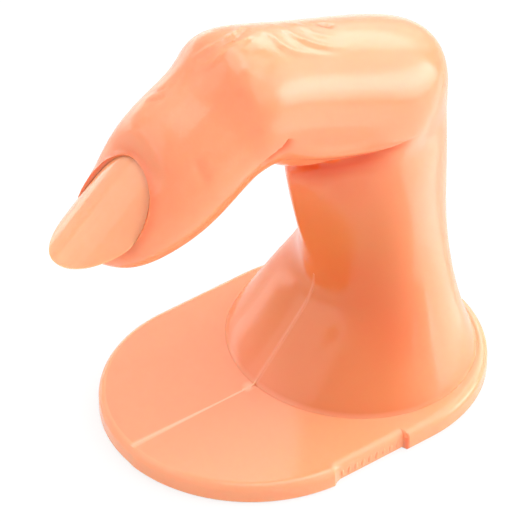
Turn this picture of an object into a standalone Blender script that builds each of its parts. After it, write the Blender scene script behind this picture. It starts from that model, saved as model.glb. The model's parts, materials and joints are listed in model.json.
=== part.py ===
"""Nail practice finger: a soft bent finger moulded in one with its base plate, and a false nail.

Blender 4.5, metres, +Z up. The origin is the centre of the plate's underside. The finger rises near
the plate's +X end, bends over and points towards -X and down, and the part is symmetric about y = 0,
apart from the gate mark on the plate's -Y side. The false nail slides out along its own length.
"""
from math import cos, pi, radians, sin

import bmesh
import bpy
from mathutils import Matrix, Vector

# Base plate: a flat plate with round ends.
PLATE_LENGTH = 0.0640
PLATE_WIDTH = 0.0474
PLATE_THICKNESS = 0.0034
PLATE_TOP_RADIUS = 0.0016
PLATE_FOOT_RADIUS = 0.0004
PLATE_END_STEPS = 28
PLATE_TOP_STEPS = 3

# Gate mark: the shallow flat where the moulding was trimmed off its gate, on the -Y side.
GATE_LENGTH = 0.0135
GATE_DEPTH = 0.0009
GATE_CENTRE_SHARE = -0.05

# Finger: its overall sizes. Reach is from the stem's back to the fingertip, height is from the
# plate's top to the knuckle, and the stem's back stands in from the plate's end by the setback.
FINGER_REACH = 0.0664
FINGER_HEIGHT = 0.0675
FINGER_WIDTH = 0.0204
STEM_SETBACK = 0.0050
CAGE_SIDES = 12
SKIN_LEVELS = 2
FLAT_ANGLE = radians(0.5)

# Keel: the soft ridge up the front of the stem, where the two halves of the mould met. From the
# first to the last of these sections, the front is pinched in towards the ridge and creased there.
KEEL_PINCH_SHARE = 0.38
KEEL_CREASE_SHARE = 0.5
KEEL_FIRST_SECTION = 4
KEEL_LAST_SECTION = 7

# Sections of the finger from the foot to the tip. Each row is the point on the back of the finger
# (along, up), the point on its palm side (along, up), and the section's half width. Along is a
# share of the reach, up a share of the height, and the half width a share of the finger's width.
FINGER_SECTION_SHARES = (
    (-0.054, 0.000, 0.528, 0.000, 1.015),
    (-0.030, 0.054, 0.473, 0.054, 0.926),
    (-0.010, 0.128, 0.408, 0.128, 0.812),
    (0.000, 0.203, 0.333, 0.203, 0.680),
    (0.001, 0.307, 0.363, 0.307, 0.554),
    (0.000, 0.441, 0.397, 0.441, 0.559),
    (0.002, 0.539, 0.416, 0.534, 0.574),
    (0.002, 0.614, 0.422, 0.575, 0.534),
    (0.002, 0.694, 0.398, 0.591, 0.559),
    (0.015, 0.787, 0.393, 0.600, 0.549),
    (0.108, 0.841, 0.404, 0.604, 0.529),
    (0.259, 0.896, 0.443, 0.610, 0.510),
    (0.422, 0.951, 0.488, 0.629, 0.500),
    (0.563, 1.004, 0.533, 0.659, 0.510),
    (0.640, 1.004, 0.566, 0.659, 0.525),
    (0.685, 0.926, 0.590, 0.650, 0.471),
    (0.784, 0.884, 0.627, 0.629, 0.490),
    (0.905, 0.801, 0.711, 0.572, 0.471),
    (0.979, 0.708, 0.837, 0.545, 0.387),
    (1.000, 0.647, 0.913, 0.548, 0.265),
    (1.000, 0.602, 0.970, 0.578, 0.098),
)

# False nail: its crown line starts at the cuticle and slopes down along the finger's back. Both
# points are (along, up) shares like the sections'. The nail is an arch of constant radius, and its
# width is measured round the arch.
NAIL_CUTICLE_SHARES = (0.852, 0.791)
NAIL_SLOPE_SHARES = (1.006, 0.672)
NAIL_WIDTH = 0.0148
NAIL_THICKNESS = 0.0008
NAIL_ARCH_RADIUS = 0.0090
NAIL_ROOT_DEPTH = 0.0030
NAIL_SIDE_LENGTH = 0.0105
NAIL_FREE_LENGTH = 0.0085
NAIL_ROOT_ARC = 0.0080
NAIL_COLUMNS = 20
NAIL_ROWS = 18

# The nail's seat: a slot under the cuticle fold, and an open recess round the nail that shows.
SEAT_CLEARANCE = 0.0003
RECESS_MARGIN = 0.0007
RECESS_ARC = 0.0100
CUTICLE_LEAD = 0.0005
RECESS_HEIGHT = 0.0060
SEAT_OVERRUN = 0.0100

PART_NAME = "nail_practice_finger"


def clear_scene():
    """Remove every object, so that the script gives the same part in any file."""
    for item in list(bpy.data.objects):
        bpy.data.objects.remove(item, do_unlink=True)


def make_collection(name):
    """Add a collection to the scene."""
    group = bpy.data.collections.new(name)
    bpy.context.scene.collection.children.link(group)
    return group


def make_material(name, colour, roughness):
    """Make a plain non-metal material."""
    material = bpy.data.materials.new(name)
    material.use_nodes = True
    shader = material.node_tree.nodes["Principled BSDF"]
    shader.inputs["Base Color"].default_value = (*colour, 1.0)
    shader.inputs["Roughness"].default_value = roughness
    shader.inputs["Metallic"].default_value = 0.0
    return material


def add_object(name, mesh, group, material=None):
    """Put a mesh in a collection as a named object."""
    item = bpy.data.objects.new(name, mesh)
    group.objects.link(item)
    if material is not None:
        mesh.materials.append(material)
    return item


def make_guide(item):
    """Mark an object as a cutter or an operand that is not part of the model."""
    item.display_type = "WIRE"
    item.hide_render = True
    return item


def mesh_from(bm, name):
    """Turn a bmesh into a mesh whose faces point outwards."""
    bmesh.ops.recalc_face_normals(bm, faces=bm.faces)
    mesh = bpy.data.meshes.new(name)
    bm.to_mesh(mesh)
    bm.free()
    return mesh


def add_boolean(item, operand, operation):
    """Cut an object with another, or join it to another."""
    modifier = item.modifiers.new(f"{operation.lower()} {operand.name}", "BOOLEAN")
    modifier.operation = operation
    modifier.solver = "EXACT"
    modifier.object = operand


def plate_outline():
    """Corner points of the plate's outline: two half circles joined by straight sides."""
    radius = PLATE_WIDTH / 2
    centre = PLATE_LENGTH / 2 - radius
    points = []
    for side in (1, -1):
        for step in range(PLATE_END_STEPS + 1):
            turn = pi * step / PLATE_END_STEPS - pi / 2
            points.append((side * (centre + radius * cos(turn)), side * radius * sin(turn)))
    return points


def round_rim(bm, height, radius, steps):
    """Round the plate's rim at one height."""
    rim = [edge for edge in bm.edges if all(abs(vert.co.z - height) < radius / 2 for vert in edge.verts)]
    bmesh.ops.bevel(bm, geom=rim, offset=radius, segments=steps, profile=0.5, affect="EDGES")


def make_gate_cutter(group):
    """A block that trims the gate mark out of the plate's -Y side."""
    bm = bmesh.new()
    bmesh.ops.create_cube(bm, size=1)
    bmesh.ops.scale(bm, verts=bm.verts, vec=(GATE_LENGTH, 2 * GATE_DEPTH, 3 * PLATE_THICKNESS))
    bmesh.ops.translate(bm, verts=bm.verts, vec=(GATE_CENTRE_SHARE * PLATE_LENGTH, -PLATE_WIDTH / 2, 0))
    return make_guide(add_object("gate_cutter", mesh_from(bm, "gate_cutter"), group))


def make_plate(group):
    """The base plate, from a flat curve, with its top edge well rounded and its gate mark cut."""
    curve = bpy.data.curves.new("plate_outline", "CURVE")
    curve.dimensions = "2D"
    curve.fill_mode = "BOTH"
    curve.extrude = PLATE_THICKNESS / 2
    points = plate_outline()
    spline = curve.splines.new("POLY")
    spline.points.add(len(points) - 1)
    for point, (x, y) in zip(spline.points, points):
        point.co = (x, y, 0, 1)
    spline.use_cyclic_u = True
    outline = add_object("plate_outline", curve, group)
    graph = bpy.context.evaluated_depsgraph_get()
    mesh = bpy.data.meshes.new_from_object(outline.evaluated_get(graph))
    bpy.data.objects.remove(outline)

    bm = bmesh.new()
    bm.from_mesh(mesh)
    bpy.data.meshes.remove(mesh)
    bmesh.ops.remove_doubles(bm, verts=bm.verts, dist=PLATE_FOOT_RADIUS / 1000)
    bmesh.ops.translate(bm, verts=bm.verts, vec=(0, 0, PLATE_THICKNESS / 2))
    bmesh.ops.dissolve_limit(bm, angle_limit=FLAT_ANGLE, verts=bm.verts, edges=bm.edges)
    round_rim(bm, PLATE_THICKNESS, PLATE_TOP_RADIUS, PLATE_TOP_STEPS)
    round_rim(bm, 0, PLATE_FOOT_RADIUS, 1)
    plate = make_guide(add_object("base_plate", mesh_from(bm, "base_plate"), group))
    add_boolean(plate, make_gate_cutter(group), "DIFFERENCE")
    return plate


def finger_point(along, up):
    """A point in the plane y = 0, from its shares of the finger's reach and height."""
    x = PLATE_LENGTH / 2 - STEM_SETBACK - along * FINGER_REACH
    return Vector((x, 0, PLATE_THICKNESS + up * FINGER_HEIGHT))


def add_section(bm, back, palm, half_width, pinch_share):
    """Add one oval ring of the finger's cage, with its palm side pinched, and return its verts."""
    # The smoothed skin runs inside its cage by a known factor, so the cage is that much larger.
    swell = 6 / (4 + 2 * cos(2 * pi / CAGE_SIDES))
    ring = bmesh.ops.create_circle(bm, segments=CAGE_SIDES, radius=swell)["verts"]
    for vert in ring:
        vert.co.y *= 1 - pinch_share * max(0, -vert.co.x)
    depth = (back - palm) / 2
    width = Vector((0, half_width, 0))
    columns = (depth, width, depth.cross(width).normalized(), (back + palm) / 2)
    place = Matrix([[column[row] for column in columns] for row in range(3)]).to_4x4()
    bmesh.ops.transform(bm, matrix=place, verts=ring)
    return ring


def edges_among(bm, verts):
    """The edges that join these verts to each other."""
    return [edge for edge in bm.edges if all(vert in verts for vert in edge.verts)]


def make_finger_skin():
    """The finger's coarse cage: oval rings bridged into a tube that is closed at both ends."""
    bm = bmesh.new()
    rings = []
    keel = []
    for row, (*spine_shares, half_width_share) in enumerate(FINGER_SECTION_SHARES):
        back = finger_point(*spine_shares[:2])
        palm = finger_point(*spine_shares[2:])
        keeled = KEEL_FIRST_SECTION <= row <= KEEL_LAST_SECTION
        pinch_share = KEEL_PINCH_SHARE if keeled else 0
        ring = add_section(bm, back, palm, half_width_share * FINGER_WIDTH, pinch_share)
        rings.append(ring)
        if keeled:
            keel.append(min(ring, key=lambda vert: (vert.co - palm).length))
    # The foot goes on straight down into the plate, where the tube ends on a creased ring.
    buried = bmesh.ops.extrude_edge_only(bm, edges=edges_among(bm, rings[0]))["geom"]
    sunk = [item for item in buried if isinstance(item, bmesh.types.BMVert)]
    bmesh.ops.translate(bm, verts=sunk, vec=(0, 0, -PLATE_THICKNESS / 2))
    for lower, upper in zip(rings, rings[1:]):
        bmesh.ops.bridge_loops(bm, edges=edges_among(bm, lower) + edges_among(bm, upper))
    bmesh.ops.holes_fill(bm, edges=bm.edges, sides=CAGE_SIDES)
    crease = bm.edges.layers.float.new("crease_edge")
    for edge in edges_among(bm, sunk):
        edge[crease] = 1
    for edge in edges_among(bm, keel):
        edge[crease] = KEEL_CREASE_SHARE
    return mesh_from(bm, "finger_skin")


def nail_frame():
    """The matrix from the nail's own axes to the part's: X along the nail, Z out of its crown."""
    start = finger_point(*NAIL_CUTICLE_SHARES)
    along = (finger_point(*NAIL_SLOPE_SHARES) - start).normalized()
    across = Vector((0, -1, 0))
    out = along.cross(across)
    columns = (along, across, out, start)
    return Matrix([[column[row] for column in columns] for row in range(3)]).to_4x4()


def arched_sheet(margin, radius, start_line, end_line):
    """An open arched sheet in the nail's own axes, as a mesh. Its arch shares the nail's centre line.

    The sheet is wider than the nail by the margin on each side. Columns run straight along the nail,
    from start_line to end_line. Both take the column's turn, a quarter at each side and none in the
    middle, so that the ends are round in plan.
    """
    half_angle = (NAIL_WIDTH / 2 + margin) / NAIL_ARCH_RADIUS
    bm = bmesh.new()
    bmesh.ops.create_grid(bm, x_segments=NAIL_ROWS, y_segments=NAIL_COLUMNS, size=1)
    for vert in bm.verts:
        share = (vert.co.x + 1) / 2
        turn = vert.co.y * pi / 2
        angle = half_angle * sin(turn)
        along = (1 - share) * start_line(turn) + share * end_line(turn)
        vert.co = (along, radius * sin(angle), radius * cos(angle) - NAIL_ARCH_RADIUS)
    mesh = bpy.data.meshes.new("arched_sheet")
    bm.to_mesh(mesh)
    bm.free()
    return mesh


def thicken(item, thickness, side):
    """Give a sheet its thickness, to its inner side at -1 or its outer side at 1."""
    wall = item.modifiers.new("wall", "SOLIDIFY")
    wall.thickness = thickness
    wall.offset = side


def seat_end(_turn):
    """The far end of both seat cutters, clear of the fingertip."""
    return NAIL_SIDE_LENGTH + SEAT_OVERRUN


def make_slot_cutter(group):
    """The nail's own space with its clearance, drawn on along the way that the nail slides."""
    def root(turn):
        return -NAIL_ROOT_DEPTH - SEAT_CLEARANCE + NAIL_ROOT_ARC * (1 - cos(turn))

    sheet = arched_sheet(SEAT_CLEARANCE, NAIL_ARCH_RADIUS + SEAT_CLEARANCE, root, seat_end)
    cutter = make_guide(add_object("nail_slot_cutter", sheet, group))
    cutter.matrix_world = nail_frame()
    thicken(cutter, NAIL_THICKNESS + 2 * SEAT_CLEARANCE, -1)
    return cutter


def make_seat_cutter(group):
    """The nail's whole seat: its slot, and the open recess from the cuticle to past the fingertip."""
    def cuticle(turn):
        return -CUTICLE_LEAD + RECESS_ARC * (1 - cos(turn))

    sheet = arched_sheet(RECESS_MARGIN, NAIL_ARCH_RADIUS - NAIL_THICKNESS / 2, cuticle, seat_end)
    cutter = make_guide(add_object("nail_seat_cutter", sheet, group))
    cutter.matrix_world = nail_frame()
    thicken(cutter, RECESS_HEIGHT, 1)
    add_boolean(cutter, make_slot_cutter(group), "UNION")
    return cutter


def make_finger_and_base(parts, guides):
    """The soft moulding: the smooth finger, less the nail's seat, joined to its plate."""
    vinyl = make_material("soft_vinyl", (0.86, 0.40, 0.20), 0.45)
    moulding = add_object("finger_and_base", make_finger_skin(), parts, vinyl)
    skin = moulding.modifiers.new("smooth skin", "SUBSURF")
    skin.levels = SKIN_LEVELS
    skin.render_levels = SKIN_LEVELS
    add_boolean(moulding, make_seat_cutter(guides), "DIFFERENCE")
    add_boolean(moulding, make_plate(guides), "UNION")


def make_nail_tip(parts):
    """The false nail: a round root, straight sides and a round free edge.

    Its origin is on the line that it slides along.
    """
    def root(turn):
        return -NAIL_ROOT_DEPTH + NAIL_ROOT_ARC * (1 - cos(turn))

    def tip(turn):
        return NAIL_SIDE_LENGTH + NAIL_FREE_LENGTH * cos(turn)

    plastic = make_material("nail_plastic", (0.90, 0.50, 0.30), 0.15)
    sheet = arched_sheet(0, NAIL_ARCH_RADIUS, root, tip)
    nail = add_object("nail_tip", sheet, parts, plastic)
    nail.matrix_world = nail_frame()
    thicken(nail, NAIL_THICKNESS, -1)


def main():
    """Build the whole part."""
    clear_scene()
    parts = make_collection(PART_NAME)
    guides = make_collection("cutters")
    make_finger_and_base(parts, guides)
    make_nail_tip(parts)


main()
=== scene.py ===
"""Looks of the nail practice finger: one soft vinyl moulding with its base, and a glossy false nail.

Blender 4.5, metres, +Z up, in the CAD's own frame: the origin is the centre of the plate's underside,
the finger points towards -X, and y = 0 is the plane where the two halves of the mould met. Sizes in
the classes are in millimetres, as a mould maker would give them, and meshes are made in metres.
"""

import json
import logging
from dataclasses import dataclass, field
from enum import Enum
from math import cos, pi, radians, sin, tan
from typing import Any, Callable, Iterable, Sequence

import bmesh
import bpy
import numpy as np
from bmesh.types import BMEdge, BMesh, BMVert
from bpy.types import ID, Material, Mesh, Node, NodeSocket, NodeTree, Object
from mathutils import Matrix, Vector
from mathutils.bvhtree import BVHTree
from mathutils.kdtree import KDTree


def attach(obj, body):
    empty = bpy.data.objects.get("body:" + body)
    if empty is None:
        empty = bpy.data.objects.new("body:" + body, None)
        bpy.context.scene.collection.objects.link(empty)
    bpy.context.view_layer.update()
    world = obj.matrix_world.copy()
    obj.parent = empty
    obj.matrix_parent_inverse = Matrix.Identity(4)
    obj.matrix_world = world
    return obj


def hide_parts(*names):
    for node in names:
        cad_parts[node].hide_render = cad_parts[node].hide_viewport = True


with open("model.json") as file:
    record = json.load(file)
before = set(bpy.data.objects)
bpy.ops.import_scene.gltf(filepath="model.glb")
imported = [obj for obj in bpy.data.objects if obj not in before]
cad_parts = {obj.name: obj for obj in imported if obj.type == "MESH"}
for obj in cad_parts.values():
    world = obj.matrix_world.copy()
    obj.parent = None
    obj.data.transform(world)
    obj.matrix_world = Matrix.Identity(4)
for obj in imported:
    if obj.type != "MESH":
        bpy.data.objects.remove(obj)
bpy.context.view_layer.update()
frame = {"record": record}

MM = 0.001
PHOTO_PIXELS = 522
LOG = logging.getLogger("practice_finger")

Point = tuple[float, float, float]
Span = tuple[float, float]


class Join(Enum):
    """How a boolean puts two bodies together."""

    UNION = "UNION"
    DIFFERENCE = "DIFFERENCE"


class Sides(Enum):
    """The sides of the finger that a mark is pressed into."""

    NEAR = (1,)
    BOTH = (1, -1)


def to_linear(code: str) -> tuple[float, float, float, float]:
    """Turn an sRGB hex code into a linear colour.

    Args:
        code: Six hex digits, such as "F4B183".

    Returns:
        Red, green and blue from 0 to 1, and an alpha of 1.
    """
    channels = [int(code[start:start + 2], 16) / 255 for start in (0, 2, 4)]
    linear = [value / 12.92 if value <= 0.04045 else ((value + 0.055) / 1.055) ** 2.4 for value in channels]
    return (*linear, 1.0)


def add_node(tree: NodeTree, kind: str, inputs: dict | None = None, **settings: Any) -> Node:
    """Add a node with its settings, and set or link its inputs.

    Args:
        tree: The node tree that gets the node.
        kind: The node's type name.
        inputs: Sockets by name or number, each with a plain value or with the output that feeds it.
        settings: The node's own properties.

    Returns:
        The new node.
    """
    node = tree.nodes.new(kind)
    for name, value in settings.items():
        setattr(node, name, value)
    for name, value in (inputs or {}).items():
        if isinstance(value, NodeSocket):
            tree.links.new(value, node.inputs[name])
        else:
            node.inputs[name].default_value = value
    return node


def calc(tree: NodeTree, operation: str, *values: Any) -> NodeSocket:
    """Add a math node over plain values or sockets, and give its result."""
    return add_node(tree, "ShaderNodeMath", dict(enumerate(values)), operation=operation).outputs[0]


def ramp(tree: NodeTree, value: NodeSocket, span: Span = (0.0, 1.0), ends: Span = (0.0, 1.0),
         soft: bool = False) -> NodeSocket:
    """Carry a value over from one range to another, and hold it inside.

    Args:
        tree: The node tree.
        value: The value's socket.
        span: The range that the value is in.
        ends: What the two ends of that range turn into.
        soft: Whether the change starts and stops gently.

    Returns:
        The result's socket.
    """
    inputs = {"Value": value, "From Min": span[0], "From Max": span[1], "To Min": ends[0], "To Max": ends[1]}
    kind = "SMOOTHSTEP" if soft else "LINEAR"
    return add_node(tree, "ShaderNodeMapRange", inputs, interpolation_type=kind).outputs["Result"]


def mixed(tree: NodeTree, factor: NodeSocket, first: Any, second: Any) -> NodeSocket:
    """Mix two colours, each a hex code or a socket, and give the result."""
    first, second = (to_linear(side) if isinstance(side, str) else side for side in (first, second))
    inputs = {"Factor": factor, "A": first, "B": second}
    return add_node(tree, "ShaderNodeMix", inputs, data_type="RGBA").outputs["Result"]


def noise(tree: NodeTree, place: NodeSocket, size: float, **sockets: float) -> NodeSocket:
    """Add noise whose lumps are about this many millimetres across, and give its value."""
    inputs = {"Vector": place, "Scale": 1 / (size * MM), **sockets}
    return add_node(tree, "ShaderNodeTexNoise", inputs).outputs["Fac"]


def in_metres(span: Span) -> Span:
    """Turn a span in millimetres into metres."""
    return span[0] * MM, span[1] * MM


def new_material(name: str) -> tuple[Material, NodeTree]:
    """Make a material with nodes, and give it with its tree."""
    material = bpy.data.materials.new(name)
    material.use_nodes = True
    return material, material.node_tree


def add_object(name: str, mesh: ID) -> Object:
    """Link a mesh or a curve to the scene as an object at the origin.

    Args:
        name: The object's name.
        mesh: Its data.

    Returns:
        The new object.
    """
    item = bpy.data.objects.new(name, mesh)
    bpy.context.scene.collection.objects.link(item)
    return item


def settled(item: Object, name: str) -> Object:
    """Turn an object and its modifiers into a plain mesh object, and remove the old one.

    Args:
        item: The object with its modifiers.
        name: The new object's name.

    Returns:
        The plain object.
    """
    graph = bpy.context.evaluated_depsgraph_get()
    mesh = bpy.data.meshes.new_from_object(item.evaluated_get(graph))
    bpy.data.objects.remove(item, do_unlink=True)
    mesh.name = name
    return add_object(name, mesh)


def join_with(item: Object, other: Object, join: Join) -> Object:
    """Add or cut away another body, and settle the result.

    Args:
        item: The body that stays.
        other: The body that is added or cut away. It is removed afterwards.
        join: What the boolean does.

    Returns:
        The settled body.
    """
    modifier = item.modifiers.new(join.value.lower(), "BOOLEAN")
    modifier.operation = join.value
    modifier.solver = "EXACT"
    modifier.object = other
    done = settled(item, item.name)
    bpy.data.objects.remove(other, do_unlink=True)
    return done


def mesh_of(bm: BMesh, name: str) -> Mesh:
    """Turn a bmesh into a mesh whose faces point outwards.

    Args:
        bm: The bmesh, which is freed.
        name: The mesh's name.

    Returns:
        The mesh.
    """
    bmesh.ops.recalc_face_normals(bm, faces=bm.faces)
    mesh = bpy.data.meshes.new(name)
    bm.to_mesh(mesh)
    bm.free()
    return mesh


def outward(mesh: Mesh) -> None:
    """Point a closed mesh's faces outwards and shade it smooth."""
    bm = bmesh.new()
    bm.from_mesh(mesh)
    bmesh.ops.recalc_face_normals(bm, faces=bm.faces)
    bm.to_mesh(mesh)
    bm.free()
    mesh.shade_smooth()


def fill_strip(bm: BMesh, lower: Sequence[BMVert], upper: Sequence[BMVert]) -> None:
    """Fill the strip between two rows of verts with quads."""
    for corners in zip(lower, lower[1:], upper[1:], upper):
        bm.faces.new(corners)


def matrix_of(*columns: Vector) -> Matrix:
    """The matrix with these columns: three directions and a place."""
    return Matrix([[column[row] for column in columns] for row in range(3)]).to_4x4()


def rows_of(items: Any, name: str) -> np.ndarray:
    """One vector of each of a mesh's items, as rows."""
    flat = np.empty(len(items) * 3, dtype=np.float32)
    items.foreach_get(name, flat)
    return flat.reshape(-1, 3).astype(float)


def positions(mesh: Mesh) -> np.ndarray:
    """The places of a mesh's vertices in millimetres, one row each."""
    return rows_of(mesh.vertices, "co") / MM


def surface_of(mesh: Mesh) -> BVHTree:
    """A mesh's surface in millimetres, kept apart from the mesh."""
    return BVHTree.FromPolygons([Vector(place) for place in positions(mesh)],
                                [tuple(face.vertices) for face in mesh.polygons])


def smooth_route(points: Sequence[Point], steps: int) -> np.ndarray:
    """Draw a smooth curve through a few points.

    Args:
        points: Points in millimetres.
        steps: How many samples each stretch gets.

    Returns:
        The samples, one row each.
    """
    knots = [np.array(point) for point in points]
    ends = [2 * knots[0] - knots[1], *knots, 2 * knots[-1] - knots[-2]]
    share = np.linspace(0, 1, steps, endpoint=False)[:, None]
    parts = []
    for a, b, c, d in zip(ends, ends[1:], ends[2:], ends[3:]):
        parts.append(b + share * (c - a) / 2 + share ** 2 * (2 * a - 5 * b + 4 * c - d) / 2
                     + share ** 3 * (3 * b - 3 * c + d - a) / 2)
    return np.vstack([*parts, ends[-2][None, :]])


def ease(value: np.ndarray | float) -> np.ndarray | float:
    """Clamp to 0 to 1 with soft ends."""
    held = np.clip(value, 0, 1)
    return held * held * (3 - 2 * held)


@dataclass(frozen=True)
class Mark:
    """A fold, a wrinkle or a ridge that runs over the skin along a path.

    The path's points are near the skin and are drawn onto it. A negative depth makes a ridge. A step is
    pressed in only on the right of its path, seen from outside. A pinch draws the skin towards the path.
    The colour it adds is painted shade, darkening the vinyl in the crease.
    """

    path: tuple[Point, ...]
    depth: float
    half_width: float
    end_share: float = 0.3
    tint: float = 0.0
    step: bool = False
    pinch: float = 0.0
    sides: Sides = Sides.NEAR

    ROUTE_STEPS = 14
    STEP_WIDTH = 0.4
    REACH_WIDTHS = 4

    def spread(self, places: np.ndarray, facing: np.ndarray, skin: BVHTree) -> tuple[np.ndarray, np.ndarray]:
        """Work out where each vertex goes, and how dark its painted shade is.

        Args:
            places: The skin's vertices.
            facing: Their normals.
            skin: The skin as it was before any mark.

        Returns:
            The moves in millimetres, one row each, and the painted shade from 0 to 1.
        """
        moves = np.zeros_like(places)
        painted_shades = np.zeros(len(places))
        for side in self.sides.value:
            points = [(x, side * y, z) for x, y, z in self.path]
            route = np.array([skin.find_nearest(Vector(place))[0]
                              for place in smooth_route(points, self.ROUTE_STEPS)])
            reach = self.REACH_WIDTHS * self.half_width + np.linalg.norm(np.diff(route, axis=0), axis=1).max()
            low, high = route.min(0) - reach, route.max(0) + reach
            close = np.flatnonzero(((places > low) & (places < high)).all(1))
            offset, share, course = self.beside(places[close], route)
            across = np.linalg.norm(offset, axis=1) / self.half_width
            fade = np.ones(len(close))
            if self.end_share:
                fade = ease(np.minimum(share, 1 - share) / self.end_share)
            if self.step:
                right = side * np.sign((np.cross(offset, course) * facing[close]).sum(1))
                fade = fade * ease(0.5 + right * across / self.STEP_WIDTH)
            groove = np.exp(-across ** 2)
            moves[close] -= (fade * self.depth * groove)[:, None] * facing[close]
            moves[close] -= (self.pinch * groove)[:, None] * offset
            # Painted shade: the vinyl is painted darker along the crease.
            painted_shades[close] = np.maximum(painted_shades[close], self.tint * fade * np.exp(-across ** 2 / 2))
        return moves, painted_shades

    @staticmethod
    def beside(places: np.ndarray, route: np.ndarray) -> tuple[np.ndarray, np.ndarray, np.ndarray]:
        """Measure places against a route.

        Args:
            places: Points, one row each.
            route: The route's samples, one row each.

        Returns:
            The way to each point from its nearest point on the route, the share of the route there, and
            the route's course there.
        """
        last = len(route) - 1
        nearest = np.linalg.norm(places[:, None, :] - route[None, :, :], axis=2).argmin(1)
        offset, share = np.full_like(places, np.inf), np.zeros(len(places))
        for step in (-1, 1):
            start, run = route[nearest], route[np.clip(nearest + step, 0, last)] - route[nearest]
            part = np.clip(((places - start) * run).sum(1) / np.maximum((run ** 2).sum(1), 1e-9), 0, 1)
            gap = places - start - part[:, None] * run
            closer = (gap ** 2).sum(1) < (offset ** 2).sum(1)
            share = np.where(closer, (nearest + step * part) / last, share)
            offset = np.where(closer[:, None], gap, offset)
        course = route[np.minimum(nearest + 1, last)] - route[np.maximum(nearest - 1, 0)]
        return offset, share, course


@dataclass(frozen=True)
class NailShape:
    """The false nail's sizes, in millimetres, and its own axes: X along it, Z out of its crown."""

    start: Point = (-29.573, 0.0, 56.793)
    arc_width: float = 15.6
    radius: float = 9.0
    thickness: float = 0.8
    root_depth: float = 3.0
    side_length: float = 10.4
    free_length: float = 8.45
    tip_power: float = 1.5
    root_arc: float = 8.0

    def matrix(self) -> Matrix:
        """The matrix from the nail's axes to the part's, in metres. Its slope is the joint's axis."""
        along = Vector(frame["record"]["behaviour"]["joints"][0]["axis"]).normalized()
        across = Vector((0, -1, 0))
        return matrix_of(along, across, along.cross(across), Vector(self.start) * MM)

    def arch(self, along: float, arc: float, radius: float) -> Vector:
        """A point in the nail's axes, in metres.

        Args:
            along: The place along the nail.
            arc: The place round the arch, measured on the nail's outer face.
            radius: The distance from the arch's centre line.

        Returns:
            The point.
        """
        angle = arc / self.radius
        return Vector((along, radius * sin(angle), radius * cos(angle) - self.radius)) * MM


@dataclass(frozen=True)
class NailSeat:
    """The recess and the slot that hold the nail, as one cutter. Sizes are in millimetres."""

    nail: NailShape
    clearance: float = 0.06
    margin: float = 0.04
    cuticle_lead: float = 0.1
    floor_depth: float = 0.25
    cuticle_arc: float = 10.9
    flare: float = 0.4
    height: float = 4.0
    overrun: float = 10.0
    rows: int = 60
    columns: int = 64
    edge_steps: tuple[int, int] = (120, 80)

    def cuticle_line(self, turn: float) -> float:
        """Where the recess starts at this turn, which is a quarter at each side of the nail."""
        return self.cuticle_arc * (1 - cos(turn)) - self.cuticle_lead + self.flare / 3

    def root_line(self, turn: float) -> float:
        """Where the slot starts at this turn."""
        return self.nail.root_arc * (1 - cos(turn)) - self.nail.root_depth - self.clearance

    def slab(self, name: str, start: Callable[[float], float], levels: Sequence[Span]) -> Object:
        """A closed arched slab between two levels.

        Args:
            name: The object's name.
            start: The line that the slab starts on.
            levels: For the inner and the outer face, the radius and the margin round the nail.

        Returns:
            The slab, in the part's axes.
        """
        bm = bmesh.new()
        borders = []
        end = self.nail.side_length + self.overrun
        turns = [(column / self.columns - 0.5) * pi for column in range(self.columns + 1)]
        for radius, margin in levels:
            half = self.nail.arc_width / 2 + margin
            lead = margin - levels[0][1]
            sheet = []
            for share in (row / self.rows for row in range(self.rows + 1)):
                alongs = ((1 - share) * (start(turn) - lead) + share * end for turn in turns)
                sheet.append([bm.verts.new(self.nail.arch(along, half * sin(turn), radius))
                              for along, turn in zip(alongs, turns)])
            for lower, upper in zip(sheet, sheet[1:]):
                fill_strip(bm, lower, upper)
            borders.append(self.border(sheet))
        fill_strip(bm, *borders)
        bmesh.ops.transform(bm, matrix=self.nail.matrix(), verts=bm.verts)
        return add_object(name, mesh_of(bm, name))

    @staticmethod
    def border(sheet: list[list[BMVert]]) -> list[BMVert]:
        """The verts round the edge of a sheet, in order and back to the first one."""
        return (sheet[0][:-1] + [line[-1] for line in sheet[:-1]]
                + sheet[-1][:0:-1] + [line[0] for line in sheet[::-1]])

    def cutter(self) -> Object:
        """The recess joined to the slot, ready to be cut away."""
        nail = self.nail
        floor = nail.radius - self.floor_depth
        recess = self.slab("nail_recess", self.cuticle_line,
                           ((floor, self.margin), (floor + self.height, self.margin + self.flare)))
        slot = self.slab("nail_slot", self.root_line,
                         ((nail.radius - nail.thickness - self.clearance, self.clearance),
                          (nail.radius + self.clearance, self.clearance)))
        return join_with(recess, slot, Join.UNION)

    def outline(self) -> np.ndarray:
        """Points round the recess's edge on the nail's outer face, as (along, arc) in millimetres."""
        half = self.nail.arc_width / 2 + self.margin + self.flare / 3
        turns = np.linspace(-pi / 2, pi / 2, self.edge_steps[0])
        arc = half * np.sin(turns)
        start = self.cuticle_arc * (1 - np.cos(turns)) - self.cuticle_lead
        sides = np.linspace(start[0], self.nail.side_length + self.overrun, self.edge_steps[1])
        return np.vstack([np.column_stack([start, arc]),
                          *(np.column_stack([sides, np.full_like(sides, side * half)]) for side in (-1, 1))])


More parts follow.
